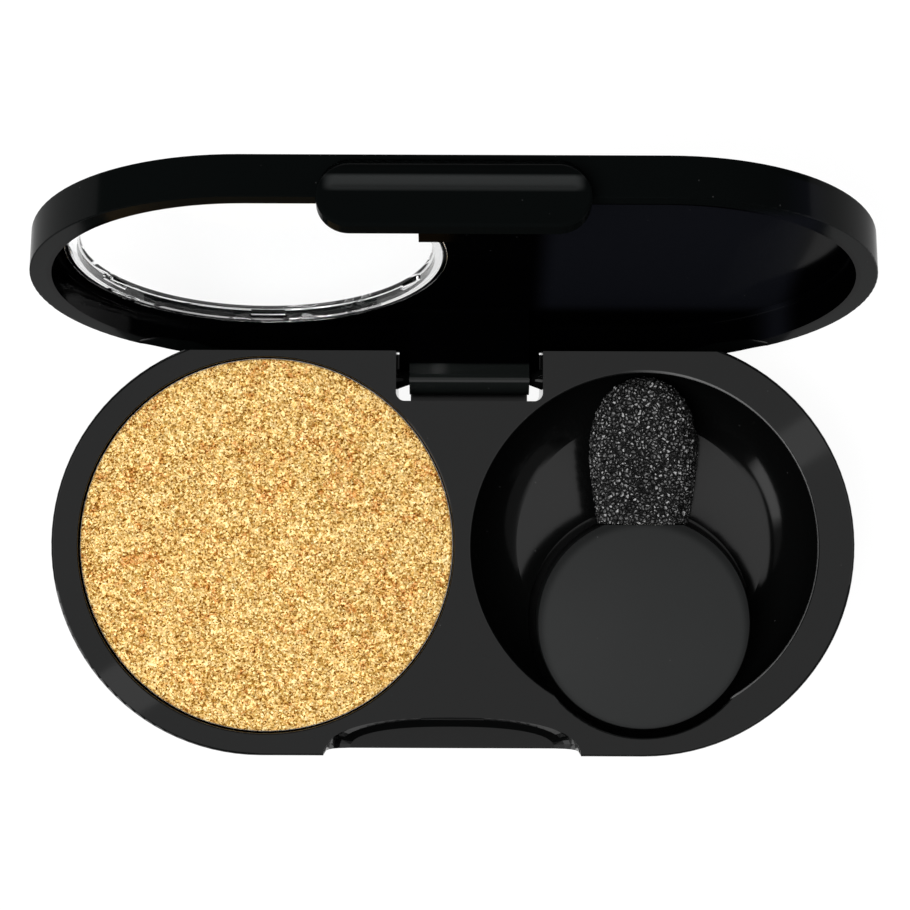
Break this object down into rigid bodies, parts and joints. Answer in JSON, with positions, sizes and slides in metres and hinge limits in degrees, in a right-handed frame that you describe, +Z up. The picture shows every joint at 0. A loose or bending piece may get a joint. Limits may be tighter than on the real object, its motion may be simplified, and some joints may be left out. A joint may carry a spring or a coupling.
{
  "type": "eyeshadow compact",
  "caption": "Pill-shaped pressed eyeshadow compact with a hinged windowed lid and a sponge-tipped button applicator in a well.",
  "frame": {"origin": "middle of the flat underside, between the two round ends", "axes": "+Z up out of the deck, +X along the case towards the applicator well, -Y to the thumb tab side, +Y to the hinge; the lid stands open at rest"},
  "size_m": [0.0606, 0.0426, 0.0348],
  "materials": {
    "case_plastic": "black moulded plastic, satin deck and gloss well",
    "pan_metal": "pressed sheet",
    "glue": "dull",
    "gold_powder": "pressed shimmer powder",
    "lid_plastic": "polished black",
    "clear_plastic": "clear polished plastic",
    "handle_plastic": "satin black",
    "stem_plastic": "plain white",
    "foam": "open-cell foam"
  },
  "bodies": {
    "base": {"base_case": "case_plastic", "bottom_cover": "case_plastic", "shadow_pan": "pan_metal", "pan_glue": "glue", "pressed_shadow": "gold_powder"},
    "lid": {"lid_shell": "lid_plastic", "lid_window": "clear_plastic"},
    "applicator": {"handle_shell": "handle_plastic", "handle_base": "handle_plastic", "applicator_stem": "stem_plastic", "sponge_tip": "foam"}
  },
  "joints": [
    {"name": "lid_hinge", "type": "hinge", "parent": "base", "child": "lid", "pos_m": [0.0012, 0.01255, 0.0068], "axis": [1, 0, 0], "range_deg": [0, 107.58]},
    {"name": "applicator_lift", "type": "slide", "parent": "base", "child": "applicator", "axis": [0, 0, 1], "range_m": [0, 0.03]}
  ]
}
